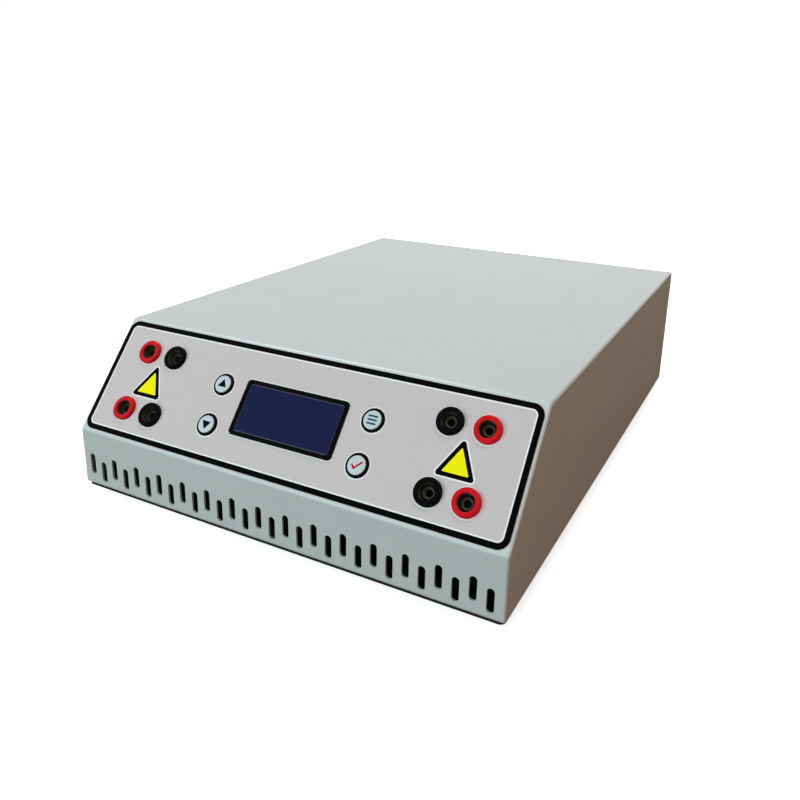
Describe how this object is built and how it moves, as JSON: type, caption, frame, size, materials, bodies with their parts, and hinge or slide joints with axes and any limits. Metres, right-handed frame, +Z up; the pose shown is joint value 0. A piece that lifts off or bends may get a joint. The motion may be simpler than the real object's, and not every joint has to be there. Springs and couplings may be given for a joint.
{
  "type": "electrophoresis power supply",
  "caption": "Bench power supply for gel electrophoresis: folded steel case with a vented front, sloping panel with display, keys and paired output sockets, and a fan, switch and inlet behind.",
  "frame": {"origin": "middle of the footprint on the surface the feet stand on", "axes": "+X to the right seen from the front, +Y to the back, +Z up"},
  "size_m": [0.258, 0.3548, 0.096],
  "materials": {
    "case_paint": "satin",
    "zinc_plate": "satin",
    "screw_steel": "satin",
    "foot_rubber": "matte",
    "panel_film": "matte",
    "red_plastic": "gloss",
    "black_plastic": "gloss",
    "matt_black_plastic": "matte",
    "key_plastic": "satin",
    "window_glass": "gloss",
    "lcd_panel": "gloss",
    "backlight": "gloss",
    "lcd_steel": "satin",
    "circuit_board": "gloss",
    "plated_brass": "gloss",
    "ferrite": "matte",
    "copper_winding": "gloss",
    "aluminium": "satin",
    "relay_plastic": "satin",
    "terminal_plastic": "satin",
    "fuse_glass": "gloss"
  },
  "bodies": {
    "case": {"cover_shell": "case_paint", "rear_panel": "case_paint", "base_plate": "zinc_plate", "case_screws": "screw_steel", "foot_screws": "screw_steel", "fan_screws": "screw_steel", "inlet_screws": "screw_steel", "board_screws": "screw_steel", "front_feet": "foot_rubber", "rear_feet": "foot_rubber", "overlay_panel": "panel_film", "display_bezel": "black_plastic", "display_window": "window_glass", "lcd_frame": "lcd_steel", "lcd_glass": "lcd_panel", "lcd_backlight": "backlight", "control_board": "circuit_board", "board_spacers": "screw_steel", "tact_switches": "matt_black_plastic", "upper_red_sockets": "red_plastic", "lower_red_sockets": "red_plastic", "upper_black_sockets": "black_plastic", "lower_black_sockets": "black_plastic", "socket_contacts": "plated_brass", "socket_nuts": "plated_brass", "contact_sleeves": "black_plastic", "upper_key_rings": "black_plastic", "lower_key_rings": "black_plastic", "fan_frame": "matt_black_plastic", "switch_housing": "black_plastic", "switch_terminals": "plated_brass", "inlet_body": "matt_black_plastic", "inlet_pins": "plated_brass", "board_standoffs": "plated_brass", "main_board": "circuit_board", "transformer_core": "ferrite", "transformer_coil": "copper_winding", "heat_sink": "aluminium", "power_transistors": "matt_black_plastic", "filter_capacitors": "aluminium", "relays": "relay_plastic", "bridge_rectifier": "matt_black_plastic", "choke_coil": "copper_winding", "terminal_blocks": "terminal_plastic"},
    "key_up": {"key_up": "key_plastic"},
    "key_down": {"key_down": "key_plastic"},
    "key_set": {"key_set": "key_plastic"},
    "key_ok": {"key_ok": "key_plastic"},
    "switch_rocker": {"switch_rocker": "black_plastic"},
    "fan_rotor": {"fan_rotor": "matt_black_plastic"},
    "fuse_drawer": {"fuse_drawer": "matt_black_plastic", "fuse_link": "fuse_glass"}
  },
  "joints": [
    {"name": "key_up_press", "type": "slide", "parent": "case", "child": "key_up", "axis": [0, 0.766, -0.6428], "range_m": [0, 0.0005], "stiffness_N_per_m": 500, "springref_m": -0.0004},
    {"name": "key_down_press", "type": "slide", "parent": "case", "child": "key_down", "axis": [0, 0.766, -0.6428], "range_m": [0, 0.0005], "stiffness_N_per_m": 500, "springref_m": -0.0004},
    {"name": "key_set_press", "type": "slide", "parent": "case", "child": "key_set", "axis": [0, 0.766, -0.6428], "range_m": [0, 0.0005], "stiffness_N_per_m": 500, "springref_m": -0.0004},
    {"name": "key_ok_press", "type": "slide", "parent": "case", "child": "key_ok", "axis": [0, 0.766, -0.6428], "range_m": [0, 0.0005], "stiffness_N_per_m": 500, "springref_m": -0.0004},
    {"name": "switch_rocker_tip", "type": "hinge", "parent": "case", "child": "switch_rocker", "pos_m": [0.036, 0.16901, 0.0515], "axis": [1, 0, 0], "range_deg": [0, 18]},
    {"name": "fan_spin", "type": "hinge", "parent": "case", "child": "fan_rotor", "pos_m": [-0.076, 0.15881, 0.0515], "axis": [0, 1, 0], "continuous": true},
    {"name": "fuse_drawer_pull", "type": "slide", "parent": "case", "child": "fuse_drawer", "axis": [0, 1, 0], "range_m": [0, 0.018]}
  ]
}
